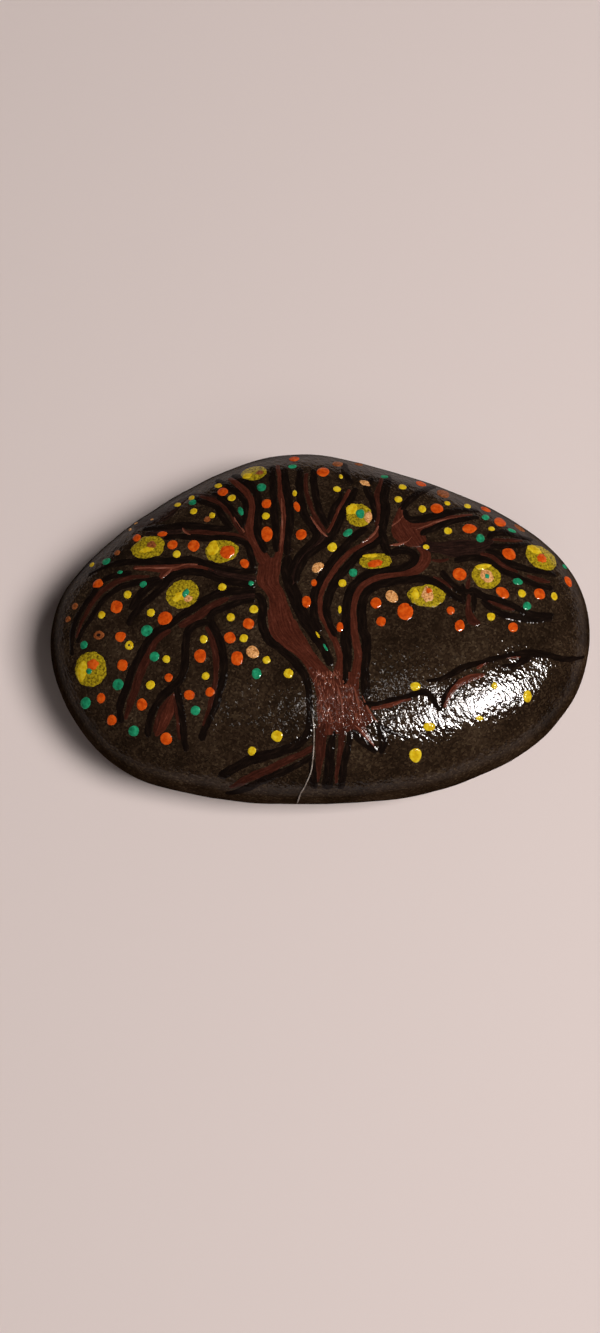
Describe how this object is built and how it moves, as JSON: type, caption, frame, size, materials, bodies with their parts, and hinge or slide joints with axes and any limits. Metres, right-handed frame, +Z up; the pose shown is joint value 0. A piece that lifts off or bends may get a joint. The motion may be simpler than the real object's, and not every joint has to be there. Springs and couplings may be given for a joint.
{
  "type": "painted pebble tree of life",
  "caption": "Smooth flat river pebble, hand painted with a spreading tree, blossoms and dots under clear gloss varnish; rests on its worn underside.",
  "frame": {"origin": "in the flat resting face on the underside, under the centre that the plan outline is measured from", "axes": "+Z up, out of the painted face; +X along the longest extent, to the tree's right; +Y towards the top of the tree's crown"},
  "size_m": [0.0922, 0.0612, 0.0245],
  "materials": {
    "river_stone": "smooth olive-brown river stone with fine dark and light grains, under gloss varnish",
    "bark_paint": "reddish-brown acrylic paint with brush streaks, under gloss varnish",
    "ink_outline": "black paint-pen line, under gloss varnish",
    "blossom_paint": "stippled yellow-green acrylic paint over the dark stone, under gloss varnish",
    "orange_paint": "opaque orange acrylic dot, under gloss varnish",
    "yellow_paint": "opaque yellow acrylic dot, under gloss varnish",
    "green_paint": "opaque sea-green acrylic dot, under gloss varnish",
    "peach_paint": "peach acrylic dot with brush streaks, under gloss varnish"
  },
  "bodies": {
    "root": {"pebble": "river_stone", "trunk": "bark_paint", "limb_main": "bark_paint", "limb_high_left": "bark_paint", "limb_centre": "bark_paint", "limb_bough": "bark_paint", "limb_outer": "bark_paint", "limb_middle": "bark_paint", "limb_droop_outer": "bark_paint", "limb_droop_middle": "bark_paint", "limb_droop_inner": "bark_paint", "limb_vee_left": "bark_paint", "limb_vee_right": "bark_paint", "limb_rise": "bark_paint", "limb_stem": "bark_paint", "limb_block": "bark_paint", "limb_upper_right": "bark_paint", "root_left": "bark_paint", "root_down_left": "bark_paint", "root_down_right": "bark_paint", "root_right": "bark_paint", "ink_trunk_left": "ink_outline", "ink_trunk_right": "ink_outline", "ink_root_left_upper": "ink_outline", "ink_root_left_lower": "ink_outline", "ink_ground": "ink_outline", "ink_bough_upper": "ink_outline", "ink_bough_lower": "ink_outline", "ink_outer_upper": "ink_outline", "ink_outer_lower": "ink_outline", "ink_droop_outer": "ink_outline", "ink_droop_inner": "ink_outline", "ink_droop_middle": "ink_outline", "ink_high_left": "ink_outline", "ink_main_right": "ink_outline", "ink_centre_left": "ink_outline", "ink_centre_right": "ink_outline", "ink_vee_left": "ink_outline", "ink_vee_right": "ink_outline", "ink_rise_left": "ink_outline", "ink_rise_right": "ink_outline", "ink_stem_left": "ink_outline", "ink_stem_right": "ink_outline", "ink_block_left": "ink_outline", "ink_right_middle": "ink_outline", "blossom_far_left": "blossom_paint", "blossom_left_high": "blossom_paint", "blossom_left_middle": "blossom_paint", "blossom_left_inner": "blossom_paint", "blossom_top_left": "blossom_paint", "blossom_top_right": "blossom_paint", "blossom_centre_right": "blossom_paint", "blossom_low_right": "blossom_paint", "blossom_right": "blossom_paint", "blossom_far_right": "blossom_paint", "dot_orange_right": "orange_paint", "dot_orange_left": "orange_paint", "dot_yellow_left": "yellow_paint", "dot_green_left": "green_paint", "dot_peach_right": "peach_paint"}
  },
  "joints": []
}
